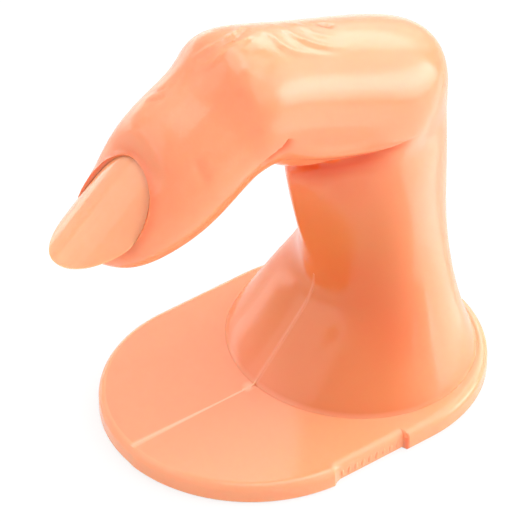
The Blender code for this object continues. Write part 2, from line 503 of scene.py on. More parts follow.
@dataclass(frozen=True)
class FingerSkin:
    """The finger's smooth skin: oval sections on a coarse cage, then folds and wrinkles pressed in.

    Each section row holds the point on the finger's back (x, z), the point on its palm side (x, z)
    and the half width. The rows go from the foot to the fingertip.
    """

    nail: NailShape
    sections: tuple[tuple[float, float, float, float, float], ...] = (
        (30.6, 3.4, -8.1, 3.4, 20.7), (29, 7, -4.4, 7, 18.9), (27.7, 12, -0.1, 12, 16.6),
        (27, 17.1, 4.9, 17.1, 13.9), (27.2, 24.1, 2.9, 24.1, 11.3), (27.3, 33.2, 0.6, 33.2, 11.4),
        (27.2, 39.8, -0.6, 39.4, 11.7), (27.2, 44.8, -1, 42.2, 10.9), (27.1, 50.2, 0.6, 43.3, 11.4),
        (26.2, 56.5, 0.9, 43.9, 11.2), (19.8, 60.2, 0.2, 44.2, 10.8), (9.8, 63.9, -2.4, 44.6, 10.4),
        (-1, 67.6, -5.4, 45.9, 10.2), (-10.4, 71.2, -8.4, 47.9, 10.4), (-15.5, 71.2, -10.6, 47.9, 10.7),
        (-18.8, 66.4, -12.2, 47.3, 9.7), (-25.5, 63.6, -14.6, 45.9, 10.1), (-33.4, 57.8, -20.2, 42, 9.7),
        (-38, 51.2, -28.6, 40.2, 7.9), (-39.4, 47.1, -33.6, 40.4, 5.4), (-39.4, 44, -37.4, 42.4, 2),
    )
    cage_sides: int = 12
    foot_depth: float = 1.7
    pinch_share: float = 0.38
    keel_crease: float = 0.5
    keel_rows: tuple[int, int] = (4, 7)
    shoulder: float = 0.15
    shoulder_flat: float = 0.26
    flank_from: float = 0.3
    flank_front: float = 0.1
    square_fade_rows: int = 2
    smooth_levels: int = 4
    marks: tuple[Mark, ...] = (
        # The deep fold where the finger bends over the stem: a roll of skin above it, a hollow below, and
        # painted shade in the fold and below it.
        Mark(((-6, -4, 48), (-3, -6.3, 47.6), (0.3, -7.6, 47.2), (2.9, -7.9, 46.4), (6.7, -9.8, 47),
              (10.9, -11, 47.5), (14.5, -11.3, 47.6)), depth=0.9, half_width=1.2, tint=0.7, step=True,
             pinch=0.3, sides=Sides.BOTH),
        Mark(((-9.6, -9.6, 54.8), (-5.5, -9.1, 52.4), (-0.3, -9.2, 50.2), (4.7, -9.6, 48.9),
              (9.2, -10.7, 48.8), (15, -11.2, 48.8)), depth=-0.75, half_width=1.5, sides=Sides.BOTH),
        Mark(((-2, 2, 42.6), (-0.1, -1.5, 42.6), (2.1, -5.3, 43.7), (5, -8.4, 44.8), (8.8, -10.4, 45.7),
              (11.2, -10.9, 46.3)), depth=0.4, half_width=1.7, end_share=0.4, tint=1.0, sides=Sides.BOTH),
        # The web inside the first joint's bend: the flank stands over the hollow behind it, with painted
        # shade in the hollow.
        Mark(((-14.5, -9.3, 54), (-12.7, -10, 55.2), (-11.6, -10.1, 55.7), (-10.5, -10.2, 56.1),
              (-9.8, -10.3, 56.8), (-9.4, -10.4, 57.6)), depth=0.9, half_width=1.3, end_share=0.25,
             tint=0.9, step=True, pinch=0.4, sides=Sides.BOTH),
        Mark(((-10.6, -8.6, 50.6), (-10, -7, 49), (-9.6, -4, 48.1), (-9.5, 0, 47.8)),
             depth=1.3, half_width=2.0, end_share=0.2, sides=Sides.BOTH),
        # Painted shade without relief: the vinyl is painted darker below the fold and down the front of the
        # stem, where the finger's shadow falls.
        Mark(((0.3, -4, 40.5), (2, -7, 41), (5, -9.2, 41.5), (9, -10.8, 42)),
             depth=0.0, half_width=3.4, end_share=0.4, tint=0.22, sides=Sides.BOTH),
        Mark(((3.5, -6.5, 29), (4.5, -7.8, 24), (7, -10.2, 18), (9, -13.5, 11.5), (10, -16.5, 6.5)),
             depth=0.0, half_width=3.8, end_share=0.35, tint=0.34, sides=Sides.BOTH),
        # Knuckle wrinkles on the back of the first joint, with painted shade in the groove between them.
        Mark(((-6.5, 4, 69), (-9.6, 1.2, 70.3), (-13.2, 0, 71), (-16, 1, 69.6), (-17.2, 2.8, 67.6)),
             depth=-0.3, half_width=0.5),
        Mark(((-6.2, 0.2, 69.4), (-9.5, -1.2, 70.4), (-13.4, -2, 70.7), (-16.4, -1.4, 69), (-17.8, 0.2, 67)),
             depth=-0.28, half_width=0.5),
        Mark(((-7.6, 2, 69.6), (-11.4, -0.4, 70.9), (-15, -0.6, 70.3)),
             depth=0.25, half_width=0.45, tint=0.2),
        # Swirls that the flowing vinyl left behind the knuckle.
        Mark(((-3, 4, 67.6), (-1.8, -1.1, 67.9), (-0.2, -3.2, 66.7), (2.7, -4.4, 65.2), (7, -4.6, 63.6)),
             depth=-0.24, half_width=0.5),
        Mark(((0, 3.4, 66.8), (1.5, 0.3, 66.7), (2.6, -2, 66.1), (6, -3, 64.6)), depth=-0.18,
             half_width=0.45),
        Mark(((-6, 2.2, 69.2), (-5.5, -1.4, 69.2), (-4.4, -4.3, 67.8), (0.2, -5.5, 65.4), (5.5, -6, 63.1)),
             depth=-0.2, half_width=0.6),
        # The sink pit over the thickest part, with painted shade in it.
        Mark(((4.6, 1.4, 65.6), (5.8, 0.3, 65.2), (7, -0.6, 64.8)), depth=0.4, half_width=0.6, tint=0.5),
        # Shallow hollows on the flank of the first joint, and a short groove beside the last one with a
        # little painted shade.
        Mark(((-13, -8.6, 66.6), (-15.6, -8.3, 64.4)), depth=0.2, half_width=3.2, end_share=0.0,
             sides=Sides.BOTH),
        Mark(((-24.5, -7.2, 59.6), (-24.2, -8.6, 57.3), (-23.5, -9.4, 54.6)), depth=0.22, half_width=0.9,
             tint=0.12, sides=Sides.BOTH),
        # Faint lines over the last joint, with painted shade in them.
        Mark(((-22.4, 5.8, 62), (-22.2, 3.7, 63.5), (-21.4, 2.3, 64.4)),
             depth=0.12, half_width=0.35, tint=0.2),
        Mark(((-24.2, 4.4, 62), (-23.6, 2.4, 63.2), (-22.3, 1.1, 64.2)),
             depth=0.12, half_width=0.35, tint=0.2),
    )
    # How far the skin stands above the nail beside it: the place along the nail, the rise and the reach.
    nail_folds: tuple[tuple[float, float, float], ...] = (
        (-0.2, 0.6, 2.6), (1.6, 0.75, 2.3), (3, 1.1, 1.9), (5.8, 1.2, 1.6), (8.1, 0.7, 1.5), (9.4, 0.1, 1.5),
        (10.4, -0.6, 1.5), (11.4, -1.2, 1.5),
    )
    far_fold_share: float = 0.6
    far_fold_turn: float = 0.5
    fold_fade: Span = (10.5, 13.5)
    fold_span: Span = (-10.0, 19.5)
    fold_most: float = 3.0
    # Painted shade on the skin round the nail's recess: how dark, and how far it reaches.
    fold_painted_shade: float = 0.45
    fold_shade_reach: float = 1.1

    def cage(self) -> Mesh:
        """The coarse cage: oval rings bridged into a tube that is closed at both ends.

        The rings are drawn larger by the share that the smoothing draws a ring of this many sides in.
        """
        bm = bmesh.new()
        swell = 6 / (4 + 2 * cos(2 * pi / self.cage_sides))
        rings, keel = [], []
        for row, (back_x, back_z, palm_x, palm_z, half_width) in enumerate(self.sections):
            back, palm = Vector((back_x, 0, back_z)) * MM, Vector((palm_x, 0, palm_z)) * MM
            keeled = self.keel_rows[0] <= row <= self.keel_rows[1]
            ring = bmesh.ops.create_circle(bm, segments=self.cage_sides, radius=swell)["verts"]
            squared = ease(row / self.keel_rows[0]) - ease((row - self.keel_rows[1]) / self.square_fade_rows)
            for vert in ring:
                front = max(0, -vert.co.x)
                flank = squared * max(0, vert.co.y ** 2 - self.flank_from) * (front < self.flank_front)
                pinch = self.pinch_share * front if keeled else 0
                vert.co.y *= 1 - pinch - self.shoulder_flat * flank * vert.co.x
                vert.co.x -= self.shoulder * flank
            depth, width = (back - palm) / 2, Vector((0, half_width * MM, 0))
            place = matrix_of(depth, width, depth.cross(width).normalized(), (back + palm) / 2)
            bmesh.ops.transform(bm, matrix=place, verts=ring)
            rings.append(ring)
            if keeled:
                keel.append(min(ring, key=lambda vert: (vert.co - palm).length))
        sunk = [item for item in bmesh.ops.extrude_edge_only(bm, edges=self.edges_among(bm, rings[0]))["geom"]
                if isinstance(item, BMVert)]
        bmesh.ops.translate(bm, verts=sunk, vec=(0, 0, -self.foot_depth * MM))
        for lower, upper in zip(rings, rings[1:]):
            bmesh.ops.bridge_loops(bm, edges=self.edges_among(bm, lower) + self.edges_among(bm, upper))
        bmesh.ops.holes_fill(bm, edges=bm.edges, sides=self.cage_sides)
        crease = bm.edges.layers.float.new("crease_edge")
        for verts, strength in ((sunk, 1.0), (keel, self.keel_crease)):
            for edge in self.edges_among(bm, verts):
                edge[crease] = strength
        return mesh_of(bm, "finger_cage")

    @staticmethod
    def edges_among(bm: BMesh, verts: Iterable[BMVert]) -> list[BMEdge]:
        """The edges that join these verts to each other."""
        return [edge for edge in bm.edges if all(vert in verts for vert in edge.verts)]

    def build(self, seat: NailSeat) -> tuple[Object, np.ndarray]:
        """The fine skin with its folds, not yet cut.

        Args:
            seat: The nail's seat, whose edge the nail folds stand round.

        Returns:
            The skin, and for each vertex how dark its painted shade is, from 0 to 1.
        """
        item = add_object("finger_skin", self.cage())
        smooth = item.modifiers.new("smooth skin", "SUBSURF")
        smooth.levels = self.smooth_levels
        smooth.render_levels = self.smooth_levels
        item = settled(item, "finger_skin")
        places, facing = positions(item.data), rows_of(item.data.vertex_normals, "vector")
        skin = surface_of(item.data)
        rise, painted_shades = self.fold_round_nail(places, seat, skin)
        moves = rise[:, None] * facing
        for mark in self.marks:
            move, tint = mark.spread(places, facing, skin)
            moves += move
            painted_shades = np.maximum(painted_shades, tint)
        item.data.vertices.foreach_set("co", ((places + moves) * MM).astype(np.float32).ravel())
        item.data.update()
        return item, painted_shades

    def fold_round_nail(self, places: np.ndarray, seat: NailSeat,
                        skin: BVHTree) -> tuple[np.ndarray, np.ndarray]:
        """Bring the skin beside the nail's recess to the height that it stands above the nail.

        Args:
            places: The skin's vertices.
            seat: The nail's seat.
            skin: The skin as it was before any mark.

        Returns:
            The moves in millimetres and the painted shade from 0 to 1.
        """
        matrix = self.nail.matrix()
        turn, shift = np.array(matrix)[:3, :3], np.array(matrix)[:3, 3] / MM
        local = (places - shift) @ turn
        outline = seat.outline()
        along, angle = outline[:, 0], outline[:, 1] / self.nail.radius
        level = np.zeros_like(along)
        centres = np.column_stack([along, level, level - self.nail.radius]) @ turn.T + shift
        rays = np.column_stack([level, np.sin(angle), np.cos(angle)]) @ turn.T
        now = np.array([skin.ray_cast(start, ray)[3] or 0 for start, ray in zip(centres, rays)])
        stations, rises, reaches = np.array(self.nail_folds).T
        fade = 1 - ease((along - self.fold_fade[0]) / (self.fold_fade[1] - self.fold_fade[0]))
        share = 1 - (1 - self.far_fold_share) * ease(-angle / self.far_fold_turn)
        rise = self.nail.radius + share * np.interp(along, stations, rises) - now
        lift = fade * np.where(np.abs(rise) < self.fold_most, rise, 0)
        reach = np.interp(along, stations, reaches)
        height = local[:, 2] + self.nail.radius
        arc = np.arctan2(local[:, 1], height) * self.nail.radius
        first, last = self.fold_span
        close = np.flatnonzero((height > 0) & (local[:, 0] > first) & (local[:, 0] < last))
        spots = np.column_stack([local[close, 0], arc[close]])
        gaps = np.linalg.norm(spots[:, None, :] - outline[None], axis=2)
        nearest, gap = gaps.argmin(1), gaps.min(1)
        moves, painted_shades = np.zeros(len(places)), np.zeros(len(places))
        moves[close] = lift[nearest] * np.exp(-(gap / reach[nearest]) ** 2)
        # Painted shade round the edge of the nail's recess.
        painted_shades[close] = self.fold_painted_shade * fade[nearest] * np.exp(-(gap / self.fold_shade_reach) ** 2)
        return moves, painted_shades


@dataclass(frozen=True)
class BasePlate:
    """The flat plate with round ends, and the gate mark let into its near side, in millimetres.

    The two halves of the mould met a little out of line, so the near half stands proud of the far one.
    """

    half_length: float = 32.0
    half_width: float = 23.7
    thickness: float = 3.4
    top_radius: float = 1.2
    foot_radius: float = 0.4
    top_steps: int = 8
    end_steps: int = 96
    side_steps: int = 110
    mismatch: float = 0.15
    mismatch_slope: float = 24.0
    gate_length: float = 13.5
    gate_depth: float = 0.9
    gate_centre: float = -3.2
    gate_edge: float = 0.16
    land_inset: float = 0.25
    land_rings: int = 12
    weld: float = 0.0004

    def profile(self) -> list[Span]:
        """The section as (inset, height) points: from the underside round the rim and in over the land."""
        top = [(self.top_radius * (1 - cos(turn)), self.thickness - self.top_radius * (1 - sin(turn)))
               for turn in (pi / 2 * step / self.top_steps for step in range(self.top_steps + 1))]
        innermost = self.half_width - 2 * self.gate_depth
        land = np.linspace(self.top_radius + self.land_inset, innermost, self.land_rings)
        return [(self.foot_radius + self.land_inset, 0), (self.foot_radius, 0), (0, self.foot_radius), *top,
                *((float(inset), self.thickness) for inset in land)]

    def outline(self, inset: float) -> list[Span]:
        """The plate's outline drawn in by an inset: two half circles, straight sides, and the gate mark."""
        centre = self.half_length - self.half_width
        points = []
        for side in (1, -1):
            for step in range(self.end_steps + 1):
                turn = pi * step / self.end_steps - pi / 2
                proud = self.mismatch * float(ease(-side * sin(turn) * self.mismatch_slope))
                radius = self.half_width - inset - self.mismatch + proud
                points.append((side * (centre + radius * cos(turn)), side * radius * sin(turn)))
        near = inset - self.half_width
        points += [(centre * (2 * step / self.side_steps - 1), near) for step in range(1, self.side_steps)]
        trimmed = []
        for x, y in points:
            room = (self.gate_length / 2 - abs(x - self.gate_centre)) / self.gate_edge
            floor = near + self.gate_depth * float(ease(room))
            trimmed.append((x, max(y, floor) if y < 0 else y))
        return trimmed

    def build(self) -> Object:
        """The plate as a closed body."""
        bm = bmesh.new()
        rings = [[bm.verts.new((x * MM, y * MM, height * MM)) for x, y in self.outline(inset)]
                 for inset, height in self.profile()]
        for lower, upper in zip(rings, rings[1:]):
            fill_strip(bm, lower + lower[:1], upper + upper[:1])
        bm.faces.new(rings[0])
        bm.faces.new(rings[-1])
        bmesh.ops.remove_doubles(bm, verts=bm.verts, dist=self.weld * MM)
        return add_object("base_plate", mesh_of(bm, "base_plate"))


@dataclass(frozen=True)
class Plastic:
    """What both plastics share: light goes a little way in, under a gloss with a fine relief.

    How far the light goes is given for red, green and blue. Lengths are in millimetres.
    """

    light_depth: Point
    roughness: Span
    ior: float

    def finish(self, material: Material, colour: NodeSocket, flow: NodeSocket,
               relief: NodeSocket, height: float) -> Material:
        """Lead the colour and the patterns to the shader, and set its constants.

        Args:
            material: The material in the making.
            colour: The colour's socket.
            flow: The noise that the roughness follows.
            relief: The noise that the relief follows.
            height: How high the relief is.

        Returns:
            The finished material.
        """
        tree = material.node_tree
        shader = tree.nodes["Principled BSDF"]
        bump = add_node(tree, "ShaderNodeBump", {"Height": relief, "Strength": 1.0, "Distance": height * MM})
        tree.links.new(colour, shader.inputs["Base Color"])
        tree.links.new(ramp(tree, flow, ends=self.roughness), shader.inputs["Roughness"])
        tree.links.new(bump.outputs["Normal"], shader.inputs["Normal"])
        shader.inputs["IOR"].default_value = self.ior
        shader.inputs["Subsurface Weight"].default_value = 1.0
        shader.inputs["Subsurface Radius"].default_value = [depth * MM for depth in self.light_depth]
        shader.inputs["Subsurface Scale"].default_value = 1.0
        return material


@dataclass(frozen=True)
class SoftVinyl(Plastic):
    """Soft PVC, moulded solid: light goes a little way in, so edges are soft; folds turn a darker orange
    partly from that and partly from painted shade.

    The skin is glossy over a fine grain from the mould, with slow swirls where the vinyl flowed. The
    plate is painted paler: painted light, for the white table shining through the thin plate. The front
    of the stem and its foot are painted browner and darker: painted shade, for the finger's shadow over them.
    """

    body: str = "F79567"
    swirl: str = "FA9C70"
    # Painted shade colour, for creases, folds, the nail's recess, the gate's end wall and the land.
    shade_colour: str = "E76026"
    # Painted light: the plate's paler colour, for the white table's light through it.
    thin: str = "FBA67A"
    # Painted highlight colour along the flash ridge.
    flash: str = "FDBA97"
    # Painted shade colour for the front of the stem and its foot.
    stem_shade: str = "E5864A"
    plate_light_below: Span = (3.5, 4.2)
    stem_shade_below: Span = (27.0, 50.0)
    stem_shade_middle: float = 6.0
    stem_shade_lean: float = 0.5
    stem_shade_within: Span = (6.0, 20.0)
    light_depth: Point = (0.8, 0.45, 0.3)
    roughness: Span = (0.13, 0.2)
    ior: float = 1.53
    swirl_size: float = 14.0
    swirl_detail: float = 3.0
    swirl_roughness: float = 0.55
    swirl_bend: float = 1.2
    grain_size: float = 0.45
    grain_height: float = 0.012

    def material(self) -> Material:
        """Build the material."""
        material, tree = new_material("soft_pvc_moulded")
        place = add_node(tree, "ShaderNodeTexCoord").outputs["Object"]
        split = add_node(tree, "ShaderNodeSeparateXYZ", {0: place}).outputs
        swirls = noise(tree, place, self.swirl_size, Detail=self.swirl_detail, Roughness=self.swirl_roughness,
                       Distortion=self.swirl_bend)
        # Painted shade: the front of the stem and its foot are painted browner, in a band leaning across the
        # stem and fading upwards.
        leaning = calc(tree, "MULTIPLY_ADD", split["Y"], -self.stem_shade_lean, split["X"])
        aside = calc(tree, "ABSOLUTE", calc(tree, "SUBTRACT", leaning, self.stem_shade_middle * MM))
        close = ramp(tree, aside, in_metres(self.stem_shade_within), (1.0, 0.0), soft=True)
        low = ramp(tree, split["Z"], in_metres(self.stem_shade_below), (1.0, 0.0), soft=True)
        # Painted light: the plate is painted paler.
        plate = ramp(tree, split["Z"], in_metres(self.plate_light_below), (1.0, 0.0))
        colour = mixed(tree, swirls, self.body, self.swirl)
        colour = mixed(tree, calc(tree, "MULTIPLY", low, close), colour, self.stem_shade)
        colour = mixed(tree, plate, colour, self.thin)
        # Painted shade from the first attribute, then a painted highlight along the flash from the second.
        for name, other in (("tint", self.shade_colour), ("pale", self.flash)):
            share = add_node(tree, "ShaderNodeAttribute", attribute_name=name).outputs["Fac"]
            colour = mixed(tree, share, colour, other)
        grain = noise(tree, place, self.grain_size, Detail=2.0)
        return self.finish(material, colour, swirls, grain, self.grain_height)


@dataclass(frozen=True)
class NailPlastic(Plastic):
    """Injection-moulded ABS, thin and a little translucent: a hard gloss with barely any texture.

    Its free end has nothing behind it, so it looks paler and yellower than the rest.
    """

    body: str = "FDA87C"
    free_end: str = "FCAE7F"
    # Painted shade: the near side of the nail is painted a darker orange where it runs under the skin's fold.
    side: str = "F6824F"
    free_from: float = 0.6
    shade_side_from: Span = (5.8, 7.1)
    shade_side_most: float = 0.15
    light_depth: Point = (0.8, 0.5, 0.35)
    roughness: Span = (0.05, 0.09)
    ior: float = 1.54
    flow_size: float = 5.0
    line_size: float = 0.35
    line_stretch: float = 0.04
    line_height: float = 0.002

    def material(self, nail: NailShape) -> Material:
        """Build the material.

        Args:
            nail: The nail whose own axes the pattern follows.

        Returns:
            The material.
        """
        material, tree = new_material("abs_nail_gloss")
        place = add_node(tree, "ShaderNodeTexCoord").outputs["Object"]
        matrix = nail.matrix()
        axes = {"Vector": place, "Location": matrix.translation, "Rotation": matrix.to_euler()}
        own = add_node(tree, "ShaderNodeMapping", axes, vector_type="TEXTURE").outputs[0]
        split = add_node(tree, "ShaderNodeSeparateXYZ", {0: own}).outputs
        end = in_metres((nail.side_length * self.free_from, nail.side_length + nail.free_length))
        colour = mixed(tree, ramp(tree, split["X"], end, soft=True), self.body, self.free_end)
        # Painted shade along the nail's near side, under the skin's fold.
        sides = ramp(tree, split["Y"], in_metres(self.shade_side_from), (0.0, self.shade_side_most), soft=True)
        colour = mixed(tree, sides, colour, self.side)
        stretch = {"Vector": own, "Scale": (self.line_stretch, 1.0, 1.0)}
        stretched = add_node(tree, "ShaderNodeMapping", stretch).outputs[0]
        lines = noise(tree, stretched, self.line_size, Detail=1.0)
        return self.finish(material, colour, noise(tree, own, self.flow_size), lines, self.line_height)


@dataclass(frozen=True)
class GeometryTree:
    """A geometry node tree in the making, with named inputs for its sizes."""

    name: str
    sizes: dict[str, Any]
    tree: NodeTree = field(init=False)

    SOCKETS = {float: "NodeSocketFloat", int: "NodeSocketInt", Object: "NodeSocketObject",
               Material: "NodeSocketMaterial"}

    def __post_init__(self) -> None:
        """Make the empty tree with a geometry input, one input for each size, and a geometry output."""
        tree = bpy.data.node_groups.new(self.name, "GeometryNodeTree")
        tree.interface.new_socket("Geometry", in_out="INPUT", socket_type="NodeSocketGeometry")
        for name, value in self.sizes.items():
            tree.interface.new_socket(name, in_out="INPUT", socket_type=self.SOCKETS[type(value)])
        tree.interface.new_socket("Geometry", in_out="OUTPUT", socket_type="NodeSocketGeometry")
        object.__setattr__(self, "tree", tree)

    def finish(self, shape: NodeSocket, material: NodeSocket) -> None:
        """End the tree: realize, shade, set the material and lead to the output.

        Args:
            shape: The geometry so far.
            material: The material's socket.
        """
        real = add_node(self.tree, "GeometryNodeRealizeInstances", {"Geometry": shape})
        shaded = add_node(self.tree, "GeometryNodeSetShadeSmooth", {"Geometry": real.outputs[0]})
        painted = add_node(self.tree, "GeometryNodeSetMaterial",
                           {"Geometry": shaded.outputs[0], "Material": material})
        add_node(self.tree, "NodeGroupOutput", {0: painted.outputs[0]})

    def apply(self, item: Object, name: str) -> Object:
        """Run the tree on an object and settle the result as a plain mesh.

        Args:
            item: The object that the tree starts from, which is removed.
            name: The new object's name.

        Returns:
            The plain object.
        """
        modifier = item.modifiers.new(self.name, "NODES")
        modifier.node_group = self.tree
        for socket in self.tree.interface.items_tree:
            if socket.in_out == "INPUT" and socket.name in self.sizes:
                modifier[socket.identifier] = self.sizes[socket.name]
        return settled(item, name)


@dataclass(frozen=True)
class FalseNail:
    """The false nail, bent from a flat block by its rule: a round root, straight sides, a round end."""

    shape: NailShape
    rows: int = 90
    columns: int = 56
    thin_share: float = 0.3
    edge_radius: float = 0.22
    edge_steps: int = 3
    edge_angle: float = 50.0

    def tree(self, material: Material) -> GeometryTree:
        """The node tree that bends a flat block into the nail."""
        s = self.shape
        nodes = GeometryTree("bend_false_nail", {
            "Radius": s.radius * MM, "Half Angle": s.arc_width / 2 / s.radius, "Thickness": s.thickness * MM,
            "Thin Share": self.thin_share, "Root Depth": s.root_depth * MM, "Root Arc": s.root_arc * MM,
            "Side Length": s.side_length * MM, "Free Length": s.free_length * MM, "Tip Power": s.tip_power,
            "Rows": self.rows, "Columns": self.columns, "Finish": material})
        tree = nodes.tree
        size = add_node(tree, "NodeGroupInput").outputs
        block = add_node(tree, "GeometryNodeMeshCube", {
            "Size": (2.0, 2.0, 2.0), "Vertices X": size["Rows"], "Vertices Y": size["Columns"],
            "Vertices Z": 3})
        place = add_node(tree, "GeometryNodeInputPosition").outputs[0]
        flat = add_node(tree, "ShaderNodeSeparateXYZ", {0: place}).outputs
        share = ramp(tree, flat["X"], (-1.0, 1.0))
        turn = calc(tree, "MULTIPLY", flat["Y"], pi / 2)
        level = ramp(tree, flat["Z"], (-1.0, 1.0), (1.0, 0.0))
        # Along the nail: from the curved root line to the round end.
        bow = calc(tree, "SUBTRACT", 1.0, calc(tree, "COSINE", turn))
        sunk = calc(tree, "SUBTRACT", 0.0, size["Root Depth"])
        root = calc(tree, "MULTIPLY_ADD", size["Root Arc"], bow, sunk)
        taper = calc(tree, "POWER", calc(tree, "COSINE", turn), size["Tip Power"])
        tip = calc(tree, "MULTIPLY_ADD", size["Free Length"], taper, size["Side Length"])
        along = add_node(tree, "ShaderNodeMix", {"Factor": share, "A": root, "B": tip},
                         data_type="FLOAT").outputs[0]
        # Round the arch: the wall gets thinner towards the free end.
        worn = calc(tree, "MULTIPLY", calc(tree, "POWER", share, 2.0), size["Thin Share"])
        wall = calc(tree, "MULTIPLY", size["Thickness"], calc(tree, "SUBTRACT", 1.0, worn))
        radius = calc(tree, "SUBTRACT", size["Radius"], calc(tree, "MULTIPLY", wall, level))
        angle = calc(tree, "MULTIPLY", size["Half Angle"], calc(tree, "SINE", turn))
        sideways = calc(tree, "MULTIPLY", radius, calc(tree, "SINE", angle))
        lift = calc(tree, "MULTIPLY", radius, calc(tree, "COSINE", angle))
        height = calc(tree, "SUBTRACT", lift, size["Radius"])
        bent = add_node(tree, "ShaderNodeCombineXYZ", {"X": along, "Y": sideways, "Z": height})
        moved = add_node(tree, "GeometryNodeSetPosition",
                         {"Geometry": block.outputs["Mesh"], "Position": bent.outputs[0]})
        nodes.finish(moved.outputs[0], size["Finish"])
        return nodes

    def build(self, finish: NailPlastic) -> Object:
        """Make the nail where it sits in its slot.

        Args:
            finish: The nail's plastic.

        Returns:
            The nail, with its edges rounded.
        """
        blank = add_object("false_nail", bpy.data.meshes.new("blank"))
        nail = self.tree(finish.material(self.shape)).apply(blank, "false_nail")
        nail.data.transform(self.shape.matrix())
        rounded = nail.modifiers.new("rounded edges", "BEVEL")
        rounded.width = self.edge_radius * MM
        rounded.segments = self.edge_steps
        rounded.limit_method = "ANGLE"
        rounded.angle_limit = radians(self.edge_angle)
        nail = settled(nail, "false_nail")
        outward(nail.data)
        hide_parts("nail_tip")
        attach(nail, "nail")
        return nail


@dataclass(frozen=True)
class PartingLine:
    """The thin ridge of flash where the two halves of the mould met, laid over the moulding.

    The guide runs in the plane y = 0, close to the surface, as (x, z) in millimetres.
    """

    guide: tuple[Span, ...] = (
        (-31.2, 3.1), (-30.3, 3.5), (-26, 3.6), (-14, 3.6), (-9, 3.8), (-6.5, 6), (-1.5, 11), (2.6, 16),
        (3.2, 19.5),
    )
    width: float = 0.34
    height: float = 0.16
    sunk: float = 0.04
    spacing: float = 0.4
    sides: int = 24

    def tree(self, surface: Object, material: Material) -> GeometryTree:
        """The node tree that lays a ridge over the surface along a guide curve."""
        nodes = GeometryTree("lay_parting_line", {
            "Surface": surface, "Width": self.width * MM, "Height": self.height * MM, "Sunk": self.sunk * MM,
            "Spacing": self.spacing * MM, "Sides": self.sides, "Finish": material})
        tree = nodes.tree
        size = add_node(tree, "NodeGroupInput").outputs
        steps = add_node(tree, "GeometryNodeResampleCurve",
                         {"Curve": size["Geometry"], "Length": size["Spacing"]}, mode="LENGTH")
        skin = add_node(tree, "GeometryNodeObjectInfo", {"Object": size["Surface"]},
                        transform_space="ORIGINAL").outputs["Geometry"]
        nearest = add_node(tree, "GeometryNodeProximity", {0: skin}, target_element="FACES")
        down = add_node(tree, "ShaderNodeCombineXYZ", {"Z": calc(tree, "MULTIPLY", size["Sunk"], -1.0)})
        laid = add_node(tree, "GeometryNodeSetPosition", {
            "Geometry": steps.outputs[0], "Offset": down.outputs[0], "Position": nearest.outputs["Position"]})
        ring = add_node(tree, "GeometryNodeCurvePrimitiveCircle",
                        {"Resolution": size["Sides"], "Radius": 0.5}, mode="RADIUS")
        oval = add_node(tree, "ShaderNodeCombineXYZ", {"X": size["Width"], "Y": size["Height"], "Z": 1.0})
        profile = add_node(tree, "GeometryNodeTransform",
                           {"Geometry": ring.outputs["Curve"], "Scale": oval.outputs[0]})
        ridge = add_node(tree, "GeometryNodeCurveToMesh", {
            "Curve": laid.outputs[0], "Profile Curve": profile.outputs[0], "Fill Caps": True})
        nodes.finish(ridge.outputs[0], size["Finish"])
        return nodes

    def build(self, surface: Object, material: Material) -> Object:
        """Lay the ridge over the moulding.

        Args:
            surface: The moulding so far.
            material: The moulding's finish.

        Returns:
            The ridge.
        """
        curve = bpy.data.curves.new("parting_guide", "CURVE")
        curve.dimensions = "3D"
        spline = curve.splines.new("POLY")
        spline.points.add(len(self.guide) - 1)
        for point, (x, z) in zip(spline.points, self.guide):
            point.co = (x * MM, 0, z * MM, 1)
        ridge = self.tree(surface, material).apply(add_object("parting_ridge", curve), "parting_ridge")
        outward(ridge.data)
        return ridge


@dataclass(frozen=True)
class GateWitness:
    """Faint upright ribs that trimming left on the face of the gate mark, in millimetres.

    Each rib is a bead with its own width and lean, drawn out upwards.
    """

    plate: BasePlate
    count: int = 9
    rib_radius: float = 0.45
    rib_least: Point = (0.7, 0.95, 2.3)
    rib_most: Point = (1.3, 1.15, 2.6)
    rib_lean: float = 0.12
    bead_steps: tuple[int, int] = (20, 16)
    sunk: float = 0.35
    rib_middle: float = 1.3
    seed: int = 7

    def tree(self, material: Material) -> GeometryTree:
        """The node tree that puts a long, soft bead of random width and lean on each point of a line."""
        plate = self.plate
        pitch = plate.gate_length / (self.count + 1)
        nodes = GeometryTree("gate_witness_lines", {
            "Count": self.count, "Pitch": pitch * MM, "Rib Radius": self.rib_radius * MM, "Seed": self.seed,
            "Finish": material})
        tree = nodes.tree
        size = add_node(tree, "NodeGroupInput").outputs
        step = add_node(tree, "ShaderNodeCombineXYZ", {"X": size["Pitch"]})
        first = ((plate.gate_centre - plate.gate_length / 2 + pitch) * MM,
                 (plate.gate_depth - plate.half_width + self.sunk) * MM, self.rib_middle * MM)
        line = add_node(tree, "GeometryNodeMeshLine", {
            "Count": size["Count"], "Start Location": first, "Offset": step.outputs[0]},
            mode="OFFSET", count_mode="TOTAL")
        bead = add_node(tree, "GeometryNodeMeshUVSphere", {
            "Segments": self.bead_steps[0], "Rings": self.bead_steps[1], "Radius": size["Rib Radius"]})
        spans = (((0.0, -self.rib_lean, 0.0), (0.0, self.rib_lean, 0.0)), (self.rib_least, self.rib_most))
        lean, spread = (
            add_node(tree, "FunctionNodeRandomValue", {"Min": low, "Max": high, "Seed": size["Seed"]},
                     data_type="FLOAT_VECTOR").outputs["Value"] for low, high in spans)
        beads = add_node(tree, "GeometryNodeInstanceOnPoints", {
            "Points": line.outputs[0], "Instance": bead.outputs["Mesh"], "Rotation": lean, "Scale": spread})
        nodes.finish(beads.outputs[0], size["Finish"])
        return nodes

    def build(self, material: Material) -> Object:
        """Make the ribs.

        Args:
            material: The moulding's finish.

        Returns:
            The ribs, as closed beads sunk in the plate's edge.
        """
        blank = add_object("gate_witness", bpy.data.meshes.new("blank"))
        ribs = self.tree(material).apply(blank, "gate_witness")
        outward(ribs.data)
        return ribs


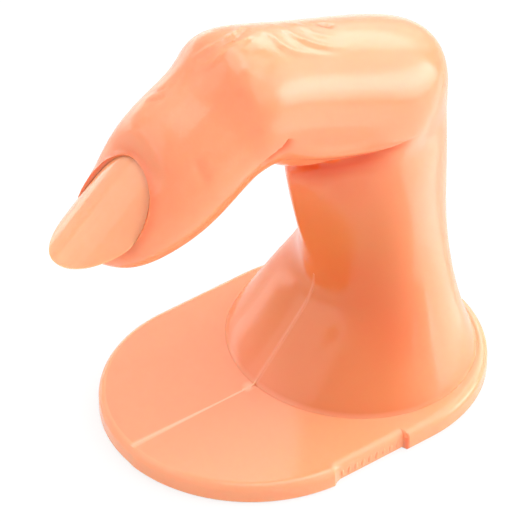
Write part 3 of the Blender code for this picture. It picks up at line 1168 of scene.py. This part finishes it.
@dataclass(frozen=True)
class Moulding:
    """The whole soft moulding: the skin less the nail's seat, joined to the plate, with its mould marks.

    Two vertex attributes colour it: one is painted shade, a darker orange in creases, folds, round the nail,
    on the gate's end wall and on the land under the finger; the other is a painted highlight along the flash.
    """

    skin: FingerSkin
    seat: NailSeat
    plate: BasePlate
    parting: PartingLine
    witness: GateWitness
    sharp_angle: float = 24.0
    # How far the skin's painted shade reaches onto the joined mesh, and the painted shade on the gate's end
    # wall.
    shade_reach: float = 1.2
    slot_reach: float = 0.35
    slot_painted_shade: float = 0.5
    touching: float = 0.003
    # The painted highlight on the flash where it runs up the foot.
    flash_highlight_on_foot: float = 0.3
    # The painted shade and bounce light on the land under the finger, and how it fades towards the near edge.
    land_painted_shade: float = 0.24
    land_fade: float = 18.0

    def colour_in(self, mesh: Mesh, knots: KDTree, skin: BVHTree, painted_shades: np.ndarray, flash: BVHTree) -> None:
        """Store the two attributes on the joined mesh.

        Args:
            mesh: The moulding with everything joined.
            knots: The skin's vertices.
            skin: The skin's surface.
            painted_shades: The painted shade of each of the skin's vertices.
            flash: The parting ridge's surface.
        """
        places = positions(mesh)
        along, aside, height = places.T
        gaps = np.array([skin.find_nearest(place)[3] for place in places])
        near = np.array([painted_shades[knots.find(place)[1]] for place in places])
        reach = np.where(height > self.plate.thickness + self.shade_reach, self.shade_reach, self.touching)
        tint = np.where(gaps < reach, near, 0.0)
        # Painted shade and painted bounce light: the land is painted a darker orange for the finger's shadow
        # and the orange light it throws; in full on the far half, less towards the near edge.
        land = np.abs(height - self.plate.thickness) < self.touching
        glow = self.land_painted_shade * np.clip(aside / self.land_fade + 1, 0, 1)
        tint = np.where(land, np.maximum(tint, glow), tint)
        # Painted shade on the end wall of the gate mark.
        slot = self.plate.gate_centre + self.plate.gate_length / 2
        in_front = aside < self.plate.gate_depth / 2 - self.plate.half_width
        tint[(np.abs(along - slot) < self.slot_reach) & in_front] = self.slot_painted_shade
        # Painted highlight: the flash ridge is painted paler, less so on the foot.
        pale = np.array([flash.find_nearest(place)[3] < self.touching for place in places])
        pale = np.where(height > self.plate.thickness + self.parting.height, self.flash_highlight_on_foot, 1) * pale
        for name, values in (("tint", tint), ("pale", pale)):
            layer = mesh.attributes.new(name, "FLOAT", "POINT")
            layer.data.foreach_set("value", values.astype(np.float32))

    def build(self, finish: SoftVinyl) -> Object:
        """Make the moulding.

        Args:
            finish: The vinyl.

        Returns:
            The finished moulding.
        """
        body, painted_shades = self.skin.build(self.seat)
        skin = surface_of(body.data)
        knots = KDTree(len(painted_shades))
        for number, place in enumerate(positions(body.data)):
            knots.insert(place, number)
        knots.balance()
        body = join_with(body, self.seat.cutter(), Join.DIFFERENCE)
        body = join_with(body, self.plate.build(), Join.UNION)
        vinyl = finish.material()
        ridge = self.parting.build(body, vinyl)
        flash = surface_of(ridge.data)
        body = join_with(body, ridge, Join.UNION)
        body = join_with(body, self.witness.build(vinyl), Join.UNION)
        self.colour_in(body.data, knots, skin, painted_shades, flash)
        body.data.materials.clear()
        body.data.materials.append(vinyl)
        body.data.polygons.foreach_set("material_index", [0] * len(body.data.polygons))
        body.data.shade_smooth()
        body.data.set_sharp_from_angle(angle=radians(self.sharp_angle))
        weigh = body.modifiers.new("even shading", "WEIGHTED_NORMAL")
        weigh.keep_sharp = True
        body = settled(body, "finger_moulding")
        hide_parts("finger_and_base")
        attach(body, "finger")
        return body


@dataclass(frozen=True)
class Softbox:
    """A rectangular lamp that looks at the part, and how wide and high it looks from there, in degrees."""

    name: str
    azimuth: float
    elevation: float
    width_angle: float
    height_angle: float
    brightness: float


@dataclass(frozen=True)
class Studio:
    """The plain studio: a pale floor, a white background, soft lamps and the photograph's camera.

    Angles are in degrees and lengths in metres.
    """

    azimuth: float = -38.1
    elevation: float = 38.2
    distance: float = 0.768
    aim: Point = (0.014496, 0.026656, 0.00035)
    focal_pixels: float = 4794.0
    sensor: float = 36.0
    lamp_aim: Point = (0.0, 0.0, 0.035)
    lamp_distance: float = 0.9
    floor_half: float = 0.34
    floor_colour: str = "F4F4F2"
    floor_roughness: float = 0.8
    floor_glow_share: float = 0.80
    world_level: float = 0.54
    # Each softbox: its name, azimuth, elevation, the angles that it spans, and its brightness.
    lamps: tuple[Softbox, ...] = (
        Softbox("side_softbox", 58, -4, 38, 14, 3.1), Softbox("side_strip", 58, 10, 36, 14, 5.6),
        Softbox("back_softbox", 110, 15, 44, 12, 1.0), Softbox("back_strip", 110, 27, 44, 12, 3.8),
        Softbox("fill_strip", 64, 24, 36, 14, 2.1), Softbox("knuckle_softbox", 116, 42, 26, 18, 2.0),
        Softbox("top_softbox", 0, 88, 50, 50, 1.8), Softbox("high_softbox", 60, 55, 40, 40, 1.8),
        Softbox("front_softbox", 25, 32, 40, 36, 1.0), Softbox("left_softbox", -115, 35, 50, 50, 0.8),
        Softbox("rear_softbox", 170, 50, 50, 40, 0.6), Softbox("horizon_strip", 180, -1, 60, 16, 1.3),
    )
    # Bright cards flat on the table: the centre in x and y, the size, and the brightness.
    cards: tuple[tuple[float, float, float, float, float], ...] = (
        (0.125, -0.11, 0.17, 0.20, 1.0), (0.02, 0.22, 0.36, 0.26, 0.3),
    )
    card_height: float = 0.002

    @staticmethod
    def look_from(item: Object, aim: Point, azimuth: float, elevation: float, distance: float) -> None:
        """Stand a camera or lamp off from a point, looking back at it.

        Args:
            item: The camera or lamp.
            aim: The point.
            azimuth: The direction round the point: 0 is -Y, and 90 is +X.
            elevation: The direction's height over the table.
            distance: How far off it stands.
        """
        turn, rise = radians(azimuth), radians(elevation)
        out = Vector((sin(turn) * cos(rise), -cos(turn) * cos(rise), sin(rise)))
        item.location = Vector(aim) + out * distance
        item.rotation_euler = (-out).to_track_quat("-Z", "Y").to_euler()

    def add_camera(self) -> None:
        """Put the camera where the photograph was taken from."""
        camera = bpy.data.cameras.new("photo_camera")
        camera.sensor_width = self.sensor
        camera.lens = self.focal_pixels / PHOTO_PIXELS * self.sensor
        item = add_object("photo_camera", camera)
        self.look_from(item, self.aim, self.azimuth, self.elevation, self.distance)
        bpy.context.scene.camera = item

    @staticmethod
    def add_panel(name: str, width: float, height: float, brightness: float) -> Object:
        """Make a rectangular lamp of an even brightness, which the camera doesn't see."""
        light = bpy.data.lights.new(name, "AREA")
        light.shape = "RECTANGLE"
        light.size, light.size_y = width, height
        light.energy = brightness * pi * width * height
        item = add_object(name, light)
        item.visible_camera = False
        LOG.info("lamp %s, %.2f by %.2f m", name, width, height)
        return item

    def add_lamps(self) -> None:
        """Put up the softboxes, and lay the cards face up on the table, seen in the gloss only."""
        for lamp in self.lamps:
            width, height = (2 * self.lamp_distance * tan(radians(angle / 2))
                             for angle in (lamp.width_angle, lamp.height_angle))
            item = self.add_panel(lamp.name, width, height, lamp.brightness)
            self.look_from(item, self.lamp_aim, lamp.azimuth, lamp.elevation, self.lamp_distance)
        for number, (x, y, width, length, brightness) in enumerate(self.cards, 1):
            item = self.add_panel(f"table_card_{number}", width, length, brightness)
            item.location = (x, y, self.card_height)
            item.rotation_euler = (pi, 0, 0)
            item.visible_diffuse = False

    def camera_or_mirror(self, tree: NodeTree) -> NodeSocket:
        """One where the ray comes from the camera, a reflection or a refraction, else nought."""
        path = add_node(tree, "ShaderNodeLightPath").outputs
        either = calc(tree, "MAXIMUM", path["Is Camera Ray"], path["Is Glossy Ray"])
        return calc(tree, "MAXIMUM", either, path["Is Transmission Ray"])

    def add_world(self) -> None:
        """A white background that lights the part at a lower, plain level."""
        world = bpy.data.worlds.new("white_tent")
        world.use_nodes = True
        tree = world.node_tree
        sky = tree.nodes["Background"]
        sky.inputs["Color"].default_value = (1.0, 1.0, 1.0, 1.0)
        level = ramp(tree, self.camera_or_mirror(tree), ends=(self.world_level, 1.0))
        tree.links.new(level, sky.inputs["Strength"])
        bpy.context.scene.world = world

    def add_floor(self) -> None:
        """A pale table top that keeps the part's shadow."""
        bm = bmesh.new()
        bmesh.ops.create_grid(bm, x_segments=1, y_segments=1, size=self.floor_half)
        floor = add_object("floor", mesh_of(bm, "floor"))
        material, tree = new_material("white_table")
        shader = tree.nodes["Principled BSDF"]
        shader.inputs["Base Color"].default_value = to_linear(self.floor_colour)
        shader.inputs["Roughness"].default_value = self.floor_roughness
        glow = add_node(tree, "ShaderNodeEmission", {"Color": (1.0, 1.0, 1.0, 1.0), "Strength": 1.0})
        share = calc(tree, "MULTIPLY", self.camera_or_mirror(tree), self.floor_glow_share)
        both = add_node(tree, "ShaderNodeMixShader", {0: share, 1: shader.outputs[0], 2: glow.outputs[0]})
        tree.links.new(both.outputs[0], tree.nodes["Material Output"].inputs["Surface"])
        floor.data.materials.append(material)

    def build(self) -> None:
        """Set up the whole studio."""
        bpy.context.scene.view_settings.view_transform = "Standard"
        self.add_camera()
        self.add_lamps()
        self.add_world()
        self.add_floor()


def report(item: Object) -> None:
    """Log a finished piece and its size."""
    places = positions(item.data)
    low, high = places.min(0), places.max(0)
    LOG.info("%s: %d faces, %s to %s mm", item.name, len(item.data.polygons), low.round(2), high.round(2))


def main() -> None:
    """Build the studio and every piece, in order."""
    logging.basicConfig(level=logging.INFO, format="%(name)s: %(message)s")
    Studio().build()
    nail = NailShape()
    seat = NailSeat(nail)
    plate = BasePlate()
    report(Moulding(FingerSkin(nail), seat, plate, PartingLine(), GateWitness(plate)).build(SoftVinyl()))
    report(FalseNail(nail).build(NailPlastic()))


if __name__ == "__main__":
    main()
